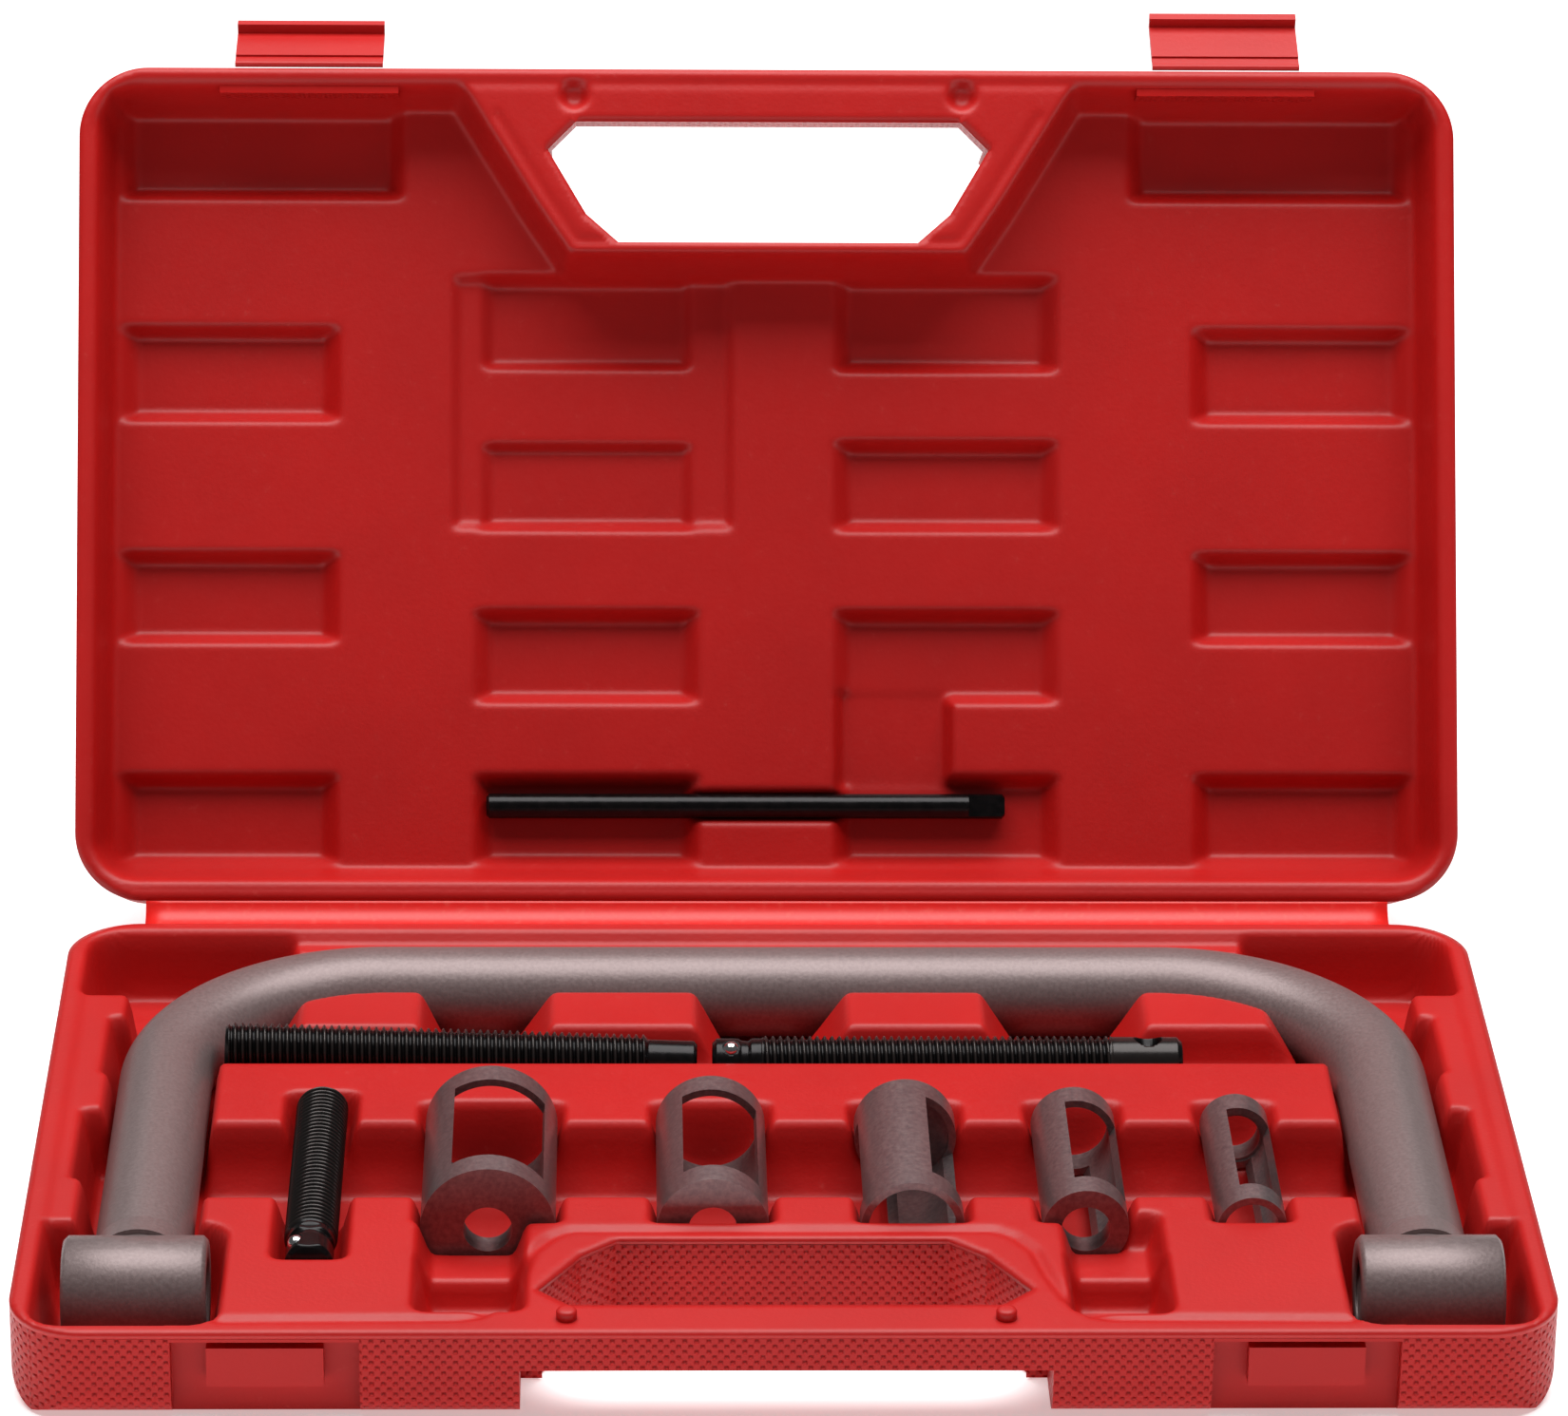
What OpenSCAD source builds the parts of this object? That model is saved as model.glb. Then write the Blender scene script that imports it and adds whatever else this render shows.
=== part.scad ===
// Valve spring compressor kit: a C-shaped clamp frame, three screws, five pushing adapters
// and a tommy bar, in a double-walled carry case with moulded hinges and latches.
// The origin is the centre of the base's underside, +Z is up and the handle side faces -Y.
// Inside the case "t" is the distance from the hinge edge towards the handle edge, and a
// depth is measured down from the rim where the two halves meet.

/* [Case] */
// Width of the case, left to right
case_w = 340; // [334:1:420]
// Depth of the case, hinge edge to handle edge
case_d = 205.8; // [204:0.2:260]
// Height of the base half
base_h = 22; // [22:0.5:30]
// Height of the lid half
lid_h = 30; // [30:0.5:40]
// Thickness of one moulded skin
skin = 1.5; // [1:0.1:1.6]
// Radius of the upright corners
corner_r = 17; // [12:1:24]
// Radius of the lower outer edges
edge_r = 7; // [4:0.5:8]
// Width of the flat rim at the sides
rim_w = 5.8; // [4:0.2:6]
// Gap left between the closed rims
rim_gap = 0.25; // [0.1:0.05:0.5]

/* [Hinge and latches] */
// Angle between the closed and the open lid
open_angle = 117.2; // [90:0.1:125]
// Distance of the hinge line behind the case
hinge_out = 3.7; // [3:0.1:5]
// Width of the moulded hinge
hinge_w = 305; // [200:1:310]
// Thickness of the moulded hinge
hinge_t = 0.6; // [0.4:0.1:0.8]
// Width of a latch flap
latch_w = 36.5; // [30:0.5:38]
// Length of a latch flap past its hinge line
latch_len = 17; // [16:0.5:18]
// Thickness of a latch flap
latch_t = 1.8; // [1.4:0.1:2.2]
// Distance of a latch from the middle of the case
latch_x = 113.5; // [112:0.5:116]
// How far the free left latch leans back from the open lid
latch_lean_left = 54; // [20:1:60]
// How far the free right latch leans back from the open lid
latch_lean_right = 42; // [20:1:60]

/* [Handle] */
// Length of the finger hole at the grip side
hole_w = 109; // [90:1:112]
// Length of the finger hole at its far side
hole_far_w = 88; // [70:1:90]
// Width of the finger hole across the grip
hole_d = 30; // [24:0.5:32]
// Width of the grip bar in one half
grip_w = 13; // [11:0.5:14]
// Thickness of the grip bar in one half
grip_t = 9.5; // [7:0.5:10]

/* [Clamp frame] */
// Diameter of the bent tube
tube_d = 21.8; // [18:0.2:22]
// Wall of the bent tube
tube_wall = 2.5; // [1.5:0.1:4]
// Distance between the two legs, centre to centre
leg_span = 286; // [270:1:288]
// Bend radius of the tube at its centre line
bend_r = 50; // [40:1:56]
// Distance from the back bar to the bosses, centre to centre
throat = 149.8; // [146:0.2:152]
// Outer diameter of the screw bosses
boss_d = 24.5; // [22:0.5:24.5]
// Length of a screw boss
boss_len = 31.8; // [28:0.2:33]
// Height of the back bar's centre line below the rim
frame_drop = 6.6; // [6.6:0.05:8]

/* [Screws] */
// Thread diameter of the screws
screw_d = 12; // [10:0.5:12]
// Diameter of the boss bores that take the thread
bore_d = 12.4; // [12.3:0.1:13]
// Length of a long screw
long_len = 111; // [100:1:112]
// Length of the short screw
short_len = 77.5; // [60:0.5:77.5]
// Diameter of the nose that holds an adapter
nose_d = 10.8; // [9:0.1:11]
// Length of the nose
nose_len = 11.5; // [9:0.5:14]
// Length of the plain drive end of a long screw
drive_len = 17; // [14:0.5:20]
// Diameter of the cross hole for the tommy bar
cross_d = 7; // [6.8:0.1:8]
// Diameter of the plain tip on the fixed screw
tip_d = 9.6; // [8:0.1:10]
// Diameter of the detent balls
ball_d = 4; // [3:0.1:4.2]
// How far a ball stands out of the nose
ball_out = 0.9; // [0.6:0.1:1.1]

/* [Adapters] */
// Outer diameters of the five adapters
adapter_ds = [30.4, 25.2, 23.4, 19.4, 15.8];
// Length of every adapter
adapter_len = 51.3; // [45:0.1:51.3]
// Wall of an adapter
adapter_wall = 1.7; // [1.2:0.1:2]
// Thickness of an adapter's closed end
adapter_floor = 6.5; // [4:0.5:8]
// Width of the ring at an adapter's open end
adapter_ring = 7; // [5:0.5:10]
// Diameter of the hole in the closed end
adapter_hole_d = 11.1; // [11.1:0.1:12]

/* [Tommy bar] */
// Diameter of the tommy bar
bar_d = 6.2; // [5:0.1:6.4]
// Length of the tommy bar
bar_len = 128.9; // [120:0.1:136]

/* [Hidden] */
$fn = 48;
eps = 0.01;

// Colours of the moulding, the painted frame, the blackened screws and the balls
red = [0.75, 0.14, 0.13];
film_red = [0.94, 0.18, 0.16];
frame_grey = [0.42, 0.38, 0.38];
black_steel = [0.08, 0.08, 0.09];
ball_steel = [0.85, 0.85, 0.86];

// Clearances: pieces on their seats, pieces in their pockets, and the balls in their bores
seat_gap = 0.2;
pocket_gap = 1.1;
ball_gap = 0.05;

half_w = case_w / 2;
base_floor = base_h - 2 * skin;
lid_floor = lid_h - 2 * skin;
lid_panel = 18.5;
inner_r = 10;

// Frame: its centre line and the bare edge of each leg
bar_t = rim_w + 8.2 + tube_d / 2;
boss_t = bar_t + throat;
leg_x = leg_span / 2;
leg_room = leg_x - tube_d / 2 - pocket_gap + 0.5;
boss_x = leg_x + 0.4;

// Tray: where the long screws and the adapters lie
slot_t = 67.3;
slot_back = 58.5;
slot_front = slot_t + screw_d / 2 + pocket_gap;
slot_drop = 4;
slot_lift = 3.7;
fixed_x0 = -leg_room + 2.2;
drive_x1 = fixed_x0 + 2 * long_len + 3.7;
adapter_t = 101.8;
adapter_drop = 2.9;
adapter_x = [-66, -15.5, 29.4, 68.4, 105.8];
adapter_turn = [11, 12, 66, 29, 25];
adapter_shut_end = [1, 1, -1, 1, -1];
short_t = 92.6;
short_x = -105.4;
trench_t = [107.2, 141.1];
trench_depth = 17;
notch_t = [96.5, adapter_t + adapter_len + 0.4];
finger_depth = 15;
finger_land = 8.3;
hump_front = 57.4;
hump_back = bar_t + tube_d / 2 + 0.5;
hump_x = [[-104, -77.5], [-59, -12], [9.5, 56.5], [78, 118]];
channel_depth = frame_drop + tube_d / 2 + seat_gap;
ledge_t = [[37, 50, -0.5], [50, 78, 3.1], [78, 98, 1.7], [98, 131, 6.3], [131, 153, 4]];

// Handle, latches and lid furniture
hole_t1 = case_d - grip_w;
hole_t0 = hole_t1 - hole_d;
grip_x = 58.2;
recess_w = latch_w + 4.6;
recess_d = 4.5;
pad_w = 25.5;
pad_z = [4.1, 13.5];
pad_out = 4.1;
latch_axis_out = 1.1;
latch_axis_up = 1;
hook_in = 2.6;
peg_x = 48;
peg_t = case_d - grip_w / 2;
peg_d = 4.6;
peg_up = 2.4;
pocket_cols = [[17.5, 72], [107, 160.2]];
inner_rows = [[10.1, 31.2], [50.6, 72.3], [93.6, 114.8], [133.5, 156.2]];
outer_rows = [[10.1, 31.2], [65.4, 86.7], [120.8, 143.1]];
corner_pocket = [91.2, 160.4, case_d - 29.3, case_d - 7.6];
bar_seat_t = 24.3;
bar_depth = lid_panel + 1.9;
bar_x = [-69.6, -69.6 + bar_len];

// Right-handed blocks and rounded plates, placed by x, by t and by depth below the rim
module block(x0, x1, t0, t1, d0, d1) {
    translate([x0, -t1, -d1])
        cube([x1 - x0, t1 - t0, d1 - d0]);
}

module round_plate(x0, x1, t0, t1, r) {
    translate([x0 + r, -t1])
        square([x1 - x0 - 2 * r, t1 - t0]);
    translate([x0, -t1 + r])
        square([x1 - x0, t1 - t0 - 2 * r]);
    for (x = [x0 + r, x1 - r], t = [t0 + r, t1 - r])
        translate([x, -t])
            circle(r = r);
}

module round_block(x0, x1, t0, t1, d0, d1, r) {
    translate([0, 0, -d1])
        linear_extrude(d1 - d0)
            round_plate(x0, x1, t0, t1, r);
}

// A slab cut from side to side or from back to front, with its two lower edges rounded
module rounded_profile(w, h, r) {
    translate([-w / 2, -h + r])
        square([w, h - r]);
    translate([-w / 2 + r, -h])
        square([w - 2 * r, r + eps]);
    for (x = [-w / 2 + r, w / 2 - r])
        translate([x, -h + r])
            circle(r = r);
}

// The finger hole's outline, wider by g on every side
module hole_plate(g) {
    a = hole_w / 2 + g;
    b = hole_far_w / 2 + g;
    c = 7;
    polygon([
        [-a, -hole_t1 - g + c], [-a + c, -hole_t1 - g], [a - c, -hole_t1 - g], [a, -hole_t1 - g + c],
        [b + 1, -hole_t0 + g - c], [b - c, -hole_t0 + g], [-b + c, -hole_t0 + g],
        [-b - 1, -hole_t0 + g - c]
    ]);
}

// One half of the case as a solid, shrunk by g all round: rim up, rim plane at height 0
module half_form(h, g) {
    difference() {
        intersection() {
            translate([0, 0, -h + g])
                linear_extrude(h - g)
                    round_plate(-half_w + g, half_w - g, g, case_d - g, corner_r - g);
            rotate([90, 0, 0])
                linear_extrude(case_d)
                    rounded_profile(case_w - 2 * g, h - g, edge_r - g);
            translate([-half_w, -case_d / 2, 0])
                rotate([90, 0, 90])
                    linear_extrude(case_w)
                        rounded_profile(case_d - 2 * g, h - g, edge_r - g);
        }
        translate([0, 0, -h - 1])
            linear_extrude(h + 2)
                hole_plate(g);
        block(-grip_x - g, grip_x + g, hole_t1 - 6 - g, case_d + 1, grip_t - g, h + 1);
        for (s = [-1, 1])
            block(s * latch_x - recess_w / 2 - g, s * latch_x + recess_w / 2 + g,
                case_d - recess_d - g, case_d + 1, skin * 1.6 - (g > 0 ? skin : 0), h + 1);
    }
}

// The outer skin of one half, open at the rim
module outer_wall(h) {
    difference() {
        half_form(h, 0);
        half_form(h, skin);
        translate([0, 0, -skin])
            linear_extrude(skin + 1)
                square([2 * case_w, 3 * case_d], center = true);
    }
}

// The flat skin at the rim plane, from which the tray's cups hang
module rim_plate(h) {
    intersection() {
        half_form(h, 0);
        block(-case_w, case_w, -1, case_d + 1, 0, skin);
    }
}

// Cups hang under the rim plate: a list of [x0, x1, t0, t1, depth, corner radius]
module cups(list) {
    for (c = list)
        round_block(c[0] - skin, c[1] + skin, c[2] - skin, c[3] + skin, 0, c[4] + skin, c[5] + skin);
}

module hollows(list) {
    for (c = list)
        round_block(c[0], c[1], c[2], c[3], -1, c[4], c[5]);
}

function base_cups() = concat(
    [
        [-half_w + rim_w, half_w - rim_w, rim_w, slot_back, channel_depth, inner_r],
        [-half_w + rim_w, -leg_room, rim_w, case_d - 5.4, channel_depth, inner_r],
        [leg_room, half_w - rim_w, rim_w, case_d - 5.4, channel_depth, inner_r],
        [-half_w + rim_w, -boss_x + boss_len / 2 + 2.6, boss_t - 19, case_d - 5.4, base_floor, 6],
        [boss_x - boss_len / 2 - 2.6, half_w - rim_w, boss_t - 19, case_d - 5.4, base_floor, 6],
        [-leg_room - 8, leg_room + 8, slot_back - 8, slot_front,
            slot_drop + screw_d / 2 + seat_gap, 2],
        [-leg_room - 4, leg_room + 4, trench_t[0], trench_t[1], trench_depth, 2],
        [short_x - screw_d / 2 - 1.6, short_x + screw_d / 2 + 1.6, short_t - 1.2,
            short_t + short_len + 0.6, adapter_drop + screw_d / 2 + seat_gap, 2],
        [adapter_x[0] - 15, adapter_x[0] + 8, notch_t[1] - 3, hole_t1 + 1.8, finger_land, 2],
        [adapter_x[0] - 15, adapter_x[0] + 8, notch_t[1] + 13.5, hole_t1 + 1.8, finger_depth, 3],
        [adapter_x[3] - 5, adapter_x[3] + 16.2, notch_t[1] - 3, hole_t1 + 2.7, finger_land, 2],
        [adapter_x[3] - 5, adapter_x[3] + 16.2, notch_t[1] + 13.5, hole_t1 + 2.7, finger_depth, 3]
    ],
    [
        for (i = [0:4])
            [adapter_x[i] - adapter_ds[i] / 2 - pocket_gap, adapter_x[i] + adapter_ds[i] / 2 + pocket_gap,
                notch_t[0], notch_t[1], adapter_drop + adapter_ds[i] / 2 + seat_gap, 2]
    ]
);

// Islands stand in the tray's hollows: a list of [x0, x1, t0, t1, top depth, hollow's depth]
function base_islands() = concat(
    [for (h = hump_x) [h[0], h[1], hump_back, hump_front, 0, channel_depth]],
    [for (s = [-1, 1], l = ledge_t)
        s < 0
            ? [-half_w + rim_w - skin, -leg_x - tube_d / 2 - l[2], l[0], l[1], 0.8, channel_depth]
            : [leg_x + tube_d / 2 + l[2], half_w - rim_w + skin, l[0], l[1], 0.8, channel_depth]],
    [[-116, 116, rim_w - skin, rim_w + 6.2, 3, channel_depth]],
    [[fixed_x0 + 2, fixed_x0 + 9, slot_t - 4, slot_t + 4,
        slot_drop - slot_lift + screw_d / 2 + 0.5, slot_drop + screw_d / 2 + seat_gap]]
);

// The clamp frame's plan, wider by g on every side: islands keep clear of it
module frame_plan(g) {
    back = leg_x - bend_r;
    r = tube_d / 2 + g;
    translate([-back - 1, -bar_t - r])
        square([2 * back + 2, 2 * r]);
    for (s = [-1, 1]) {
        translate([s * leg_x - r, -boss_t])
            square([2 * r, boss_t - bar_t - bend_r + 1]);
        intersection() {
            translate([s * back, -bar_t - bend_r])
                difference() {
                    circle(r = bend_r + r);
                    circle(r = bend_r - r);
                }
            translate([s > 0 ? back : -back - 2 * bend_r, -bar_t - bend_r])
                square([2 * bend_r, 2 * bend_r]);
        }
    }
}

// The channel that follows the clamp frame's bends, wider and deeper by g
module frame_room(g) {
    translate([0, 0, -channel_depth - g])
        linear_extrude(channel_depth + g + (g > 0 ? 0 : 1))
            frame_plan(pocket_gap - 0.5 + g);
}

module islands(list) {
    difference() {
        for (i = list)
            block(i[0], i[1], i[2], i[3], i[4], i[5] + skin);
        translate([0, 0, -channel_depth])
            linear_extrude(channel_depth + 1)
                frame_plan(0.5);
    }
}

module island_voids(list) {
    difference() {
        for (i = list)
            block(i[0] + skin, i[1] - skin, i[2] + skin, i[3] - skin, i[4] + skin, i[5] + skin + 1);
        translate([0, 0, -channel_depth - skin - 1])
            linear_extrude(channel_depth + skin + 2)
                frame_plan(0.5 + skin);
    }
}

module base_place() {
    translate([0, case_d / 2, base_h])
        children();
}

// The closed lid hangs over the base; the open one is turned back about the hinge line
module lid_place(angle = open_angle) {
    translate([0, case_d / 2 + hinge_out, base_h])
        rotate([-angle, 0, 0])
            translate([0, -hinge_out, rim_gap])
                mirror([0, 0, 1])
                    children();
}

module base_outer_wall() {
    color(red)
        base_place() {
            outer_wall(base_h);
            for (s = [-1, 1])
                block(s * latch_x - pad_w / 2, s * latch_x + pad_w / 2, case_d - recess_d - eps,
                    case_d - recess_d + pad_out, pad_z[0], pad_z[1]);
        }
}

module base_tray() {
    color(red)
        base_place() {
            difference() {
                union() {
                    difference() {
                        union() {
                            rim_plate(base_h);
                            intersection() {
                                union() {
                                    cups(base_cups());
                                    frame_room(skin);
                                }
                                half_form(base_h, skin);
                            }
                        }
                        hollows(base_cups());
                        frame_room(0);
                    }
                    islands(base_islands());
                }
                island_voids(base_islands());
            }
            for (s = [-1, 1])
                translate([s * peg_x, -peg_t, -eps])
                    cylinder(d = peg_d, h = peg_up);
        }
}

module base_hinge_strip() {
    color(film_red)
        base_place()
            block(-hinge_w / 2, hinge_w / 2, -hinge_out + 0.4, 0, 0.1, 0.1 + hinge_t);
}

module lid_outer_wall() {
    color(red)
        lid_place()
            outer_wall(lid_h);
}

function lid_main() = [
    [-half_w + rim_w - 0.6, half_w - rim_w + 0.6, rim_w, case_d - 5, lid_panel, inner_r]
];

function lid_pockets() = concat(
    [for (s = [-1, 1], r = inner_rows) mirrored(s, pocket_cols[0], r, 3)],
    [for (s = [-1, 1], r = outer_rows) mirrored(s, pocket_cols[1], r, 3)],
    [for (s = [-1, 1]) mirrored(s, [corner_pocket[0], corner_pocket[1]],
        [corner_pocket[2], corner_pocket[3]], 3)]
);

function mirrored(s, col, row, r) =
    [s < 0 ? -col[1] : col[0], s < 0 ? -col[0] : col[1], row[0], row[1], lid_floor, r];

// Steps in the lid panel: a shallow one, a finger channel and the tommy bar's snap groove
function lid_steps() = [
    [-77.9, -8.7, inner_rows[2][0], inner_rows[3][1], lid_panel + 2.5, 2],
    [pocket_cols[0][0], 45.7, inner_rows[0][1] - 3, inner_rows[1][0] + 3, lid_floor - 2.5, 2],
    [-pocket_cols[0][0] - 3, pocket_cols[0][0] + 3, bar_seat_t - bar_d / 2 - seat_gap,
        bar_seat_t + bar_d / 2 + seat_gap, bar_depth + bar_d / 2 + seat_gap, 1]
];

// The raised surround of the finger hole, wider by g on every side
module surround_plate(g) {
    polygon([
        [-76 - g, -case_d + 4], [76 + g, -case_d + 4], [58 + g, -hole_t0 - 10],
        [49 + g, -hole_t0 + 3.2 + g], [-49 - g, -hole_t0 + 3.2 + g], [-58 - g, -hole_t0 - 10]
    ]);
}

module lid_tray() {
    color(red)
        lid_place()
            difference() {
                union() {
                    difference() {
                        union() {
                            rim_plate(lid_h);
                            intersection() {
                                union() {
                                    cups(lid_main());
                                    cups(lid_steps());
                                    cups(lid_pockets());
                                }
                                half_form(lid_h, skin);
                            }
                        }
                        hollows(lid_main());
                        hollows(lid_steps());
                        hollows(lid_pockets());
                    }
                    intersection() {
                        translate([0, 0, -lid_panel - skin])
                            linear_extrude(lid_panel + skin)
                                surround_plate(0);
                        union() {
                            half_form(lid_h, skin);
                            rim_plate(lid_h);
                        }
                    }
                }
                translate([0, 0, -lid_h])
                    linear_extrude(lid_h - skin)
                        surround_plate(-skin);
                for (s = [-1, 1])
                    translate([s * peg_x, -peg_t, -3.2])
                        cylinder(d = peg_d + 1.4, h = 4);
            }
}

module lid_hinge_strip() {
    color(film_red)
        lid_place()
            block(-hinge_w / 2, hinge_w / 2, -hinge_out + 0.4, 0, 0.1, 0.1 + hinge_t);
}

// A latch flap turns on the thin film along its hinge line and hooks under a pad of the base
module latch(side, lean) {
    root_d = 2 * latch_axis_out - 0.6;
    color(red)
        lid_place()
            translate([side * latch_x - latch_w / 2, -case_d - latch_axis_out, -latch_axis_up])
                rotate([90 + lean, 0, 0]) {
                    rotate([0, 90, 0])
                        cylinder(d = root_d, h = latch_w);
                    translate([0, -root_d / 4, 0])
                        cube([latch_w, root_d / 2, 3.3]);
                    translate([0, -latch_t / 2, 3.2])
                        cube([latch_w, latch_t, latch_len - 3.2]);
                    translate([0, -eps, latch_len - 2.2])
                        cube([latch_w, latch_axis_out - 0.3 + hook_in, 2.2]);
                }
}

module latch_left() {
    latch(-1, latch_lean_left);
}

module latch_right() {
    latch(1, latch_lean_right);
}

module frame_place() {
    translate([0, case_d / 2 - bar_t, base_h - frame_drop])
        children();
}

module tube_ring() {
    difference() {
        circle(d = tube_d);
        circle(d = tube_d - 2 * tube_wall);
    }
}

// The back bar, between its two quarter bends
module back_bar() {
    back = leg_x - bend_r;
    translate([-back, 0, 0])
        rotate([90, 0, 90])
            linear_extrude(2 * back)
                tube_ring();
}

module boss_cylinder(side, d, extra = 0) {
    translate([side * boss_x - boss_len / 2 - extra, -throat, 0])
        rotate([0, 90, 0])
            cylinder(d = d, h = boss_len + 2 * extra);
}

module frame_tube() {
    color(frame_grey)
        frame_place()
            back_bar();
}

// A quarter bend, which runs on from the bar into its leg
module quarter_bend(side) {
    color(frame_grey)
        frame_place()
            translate([side * (leg_x - bend_r), -bend_r, 0])
                rotate([0, 0, side < 0 ? 90 : 0])
                    rotate_extrude(angle = 90)
                        translate([bend_r, 0])
                            tube_ring();
}

module bend_left() {
    quarter_bend(-1);
}

module bend_right() {
    quarter_bend(1);
}

// A straight leg, from the end of its bend to the saddle on its boss
module straight_leg(side) {
    color(frame_grey)
        frame_place()
            difference() {
                translate([side * leg_x, -bend_r, 0])
                    rotate([90, 0, 0])
                        linear_extrude(throat - bend_r)
                            tube_ring();
                boss_cylinder(side, boss_d, 1);
            }
}

module leg_left() {
    straight_leg(-1);
}

module leg_right() {
    straight_leg(1);
}

module boss(side) {
    color(frame_grey)
        frame_place()
            difference() {
                boss_cylinder(side, boss_d);
                boss_cylinder(side, bore_d, 1);
            }
}

module boss_left() {
    boss(-1);
}

module boss_right() {
    boss(1);
}

// A fillet of weld where each leg meets its boss
module weld_beads() {
    color(frame_grey)
        frame_place()
            for (s = [-1, 1])
                difference() {
                    translate([s * leg_x, -throat + boss_d / 2 + 1.9, 0])
                        rotate([90, 0, 0])
                            cylinder(d1 = tube_d + 0.6, d2 = tube_d + 2.4, h = 8);
                    boss_cylinder(s, boss_d, 9);
                    translate([s * leg_x, -throat + boss_d / 2 + 3, 0])
                        rotate([90, 0, 0])
                            cylinder(d = tube_d, h = 14);
                }
}

// A chamfered rod along +X from the origin
module rod(d, len, chamfer) {
    rotate([90, 0, 90])
        rotate_extrude()
            polygon([
                [0, 0], [d / 2 - chamfer, 0], [d / 2, chamfer], [d / 2, len - chamfer],
                [d / 2 - chamfer, len], [0, len]
            ]);
}

// The blind hole of a detent: its mouth is turned in so that the ball can't fall out
module detent_hole() {
    translate([0, 0, nose_d / 2 - 7.2])
        cylinder(d = ball_d + 2 * ball_gap, h = 7.2 - ball_d / 2 + ball_out - 0.2);
    translate([0, 0, nose_d / 2 - ball_d / 2 + ball_out - 0.3])
        cylinder(d = 2 * sqrt(pow(ball_d / 2, 2) - pow(ball_d / 2 - ball_out, 2)) + 0.5, h = 4);
    translate([0, 0, nose_d / 2 - ball_d / 2 + ball_out - 1.3])
        sphere(d = ball_d + 2 * ball_gap);
    translate([0, 0, nose_d / 2 - ball_d / 2 + ball_out])
        sphere(d = ball_d + 2 * ball_gap);
}

// A screw whose nose starts at the origin and points to -X
module nosed_screw(len, plain, turn) {
    difference() {
        union() {
            rod(nose_d, nose_len + 2, 1);
            translate([nose_len, 0, 0])
                rod(screw_d, len - nose_len, 1.2);
        }
        translate([4.4, 0, 0])
            rotate([turn, 0, 0])
                detent_hole();
        // Turned groove behind the ball
        translate([7.6, 0, 0])
            rotate([0, 90, 0])
                rotate_extrude()
                    translate([nose_d / 2 + 1.2, 1.3])
                        circle(d = 3.2);
        if (plain > 0)
            translate([len - plain / 2 + 0.5, 0, 0])
                rotate([-12, 0, 0])
                    cylinder(d = cross_d, h = 2 * screw_d, center = true);
    }
}

module nose_ball(turn) {
    color(ball_steel)
        translate([4.4, 0, 0])
            rotate([turn, 0, 0])
                translate([0, 0, nose_d / 2 - ball_d / 2 + ball_out])
                    sphere(d = ball_d);
}

// The spring under a ball, as the thin sleeve that its turns fill
module nose_spring(turn) {
    color(ball_steel)
        translate([4.4, 0, 0])
            rotate([turn, 0, 0])
                translate([0, 0, nose_d / 2 - 7.2])
                    difference() {
                        cylinder(d = ball_d - 0.5, h = 7.2 - ball_d + ball_out);
                        translate([0, 0, -1])
                            cylinder(d = ball_d - 1.7, h = 8);
                    }
}

// Each screw's place: the drive screw and the fixed screw lie end to end in the slot
module drive_place() {
    translate([drive_x1 - long_len, case_d / 2 - slot_t, base_h - slot_drop])
        children();
}

module fixed_place() {
    translate([fixed_x0 + long_len, case_d / 2 - slot_t, base_h - slot_drop])
        rotate([0, asin(slot_lift / long_len), 0])
            translate([-long_len, 0, 0])
                children();
}

module short_place() {
    translate([short_x, case_d / 2 - short_t - short_len, base_h - adapter_drop])
        rotate([0, 0, 90])
            children();
}

drive_turn = 24;
short_turn = -42;

module drive_screw() {
    color(black_steel)
        drive_place()
            nosed_screw(long_len, drive_len, drive_turn);
}

module drive_screw_ball() {
    drive_place()
        nose_ball(drive_turn);
}

module drive_screw_spring() {
    drive_place()
        nose_spring(drive_turn);
}

module fixed_screw() {
    color(black_steel)
        fixed_place() {
            rod(screw_d, long_len - nose_len, 1.2);
            translate([long_len - nose_len - 2, 0, 0])
                rod(tip_d, nose_len + 2, 0.8);
        }
}

// The short screw's nose has two small flats beside its ball
module short_screw() {
    color(black_steel)
        short_place()
            difference() {
                nosed_screw(short_len, 0, short_turn);
                for (s = [-1, 1])
                    translate([-1, -screw_d, s > 0 ? nose_d / 2 - 0.5 : -nose_d / 2 - 1.5])
                        cube([nose_len, 2 * screw_d, 2]);
            }
}

module short_screw_ball() {
    short_place()
        nose_ball(short_turn);
}

module short_screw_spring() {
    short_place()
        nose_spring(short_turn);
}

// An adapter: a tube with one holed end, one open end and a window cut through both sides
module adapter(i) {
    d = adapter_ds[i];
    translate([adapter_x[i], case_d / 2 - adapter_t - adapter_len / 2, base_h - adapter_drop])
        rotate([0, adapter_turn[i], 0])
            rotate([adapter_shut_end[i] > 0 ? 90 : -90, 0, 0])
                translate([0, 0, -adapter_len / 2])
                    difference() {
                        cylinder(d = d, h = adapter_len);
                        translate([0, 0, -1])
                            cylinder(d = d - 2 * adapter_wall, h = adapter_len - adapter_floor + 1);
                        cylinder(d = adapter_hole_d, h = adapter_len + 1);
                        window(d);
                    }
}

// The window leaves two struts, each as wide as a third of the adapter
module window(d) {
    w = 0.69 * d;
    translate([-w / 2, -d, adapter_ring])
        cube([w, 2 * d, adapter_len - adapter_ring - adapter_floor - 0.6]);
}

module adapter_30() {
    color(frame_grey) adapter(0);
}

module adapter_25() {
    color(frame_grey) adapter(1);
}

module adapter_23() {
    color(frame_grey) adapter(2);
}

module adapter_19() {
    color(frame_grey) adapter(3);
}

module adapter_16() {
    color(frame_grey) adapter(4);
}

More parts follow.
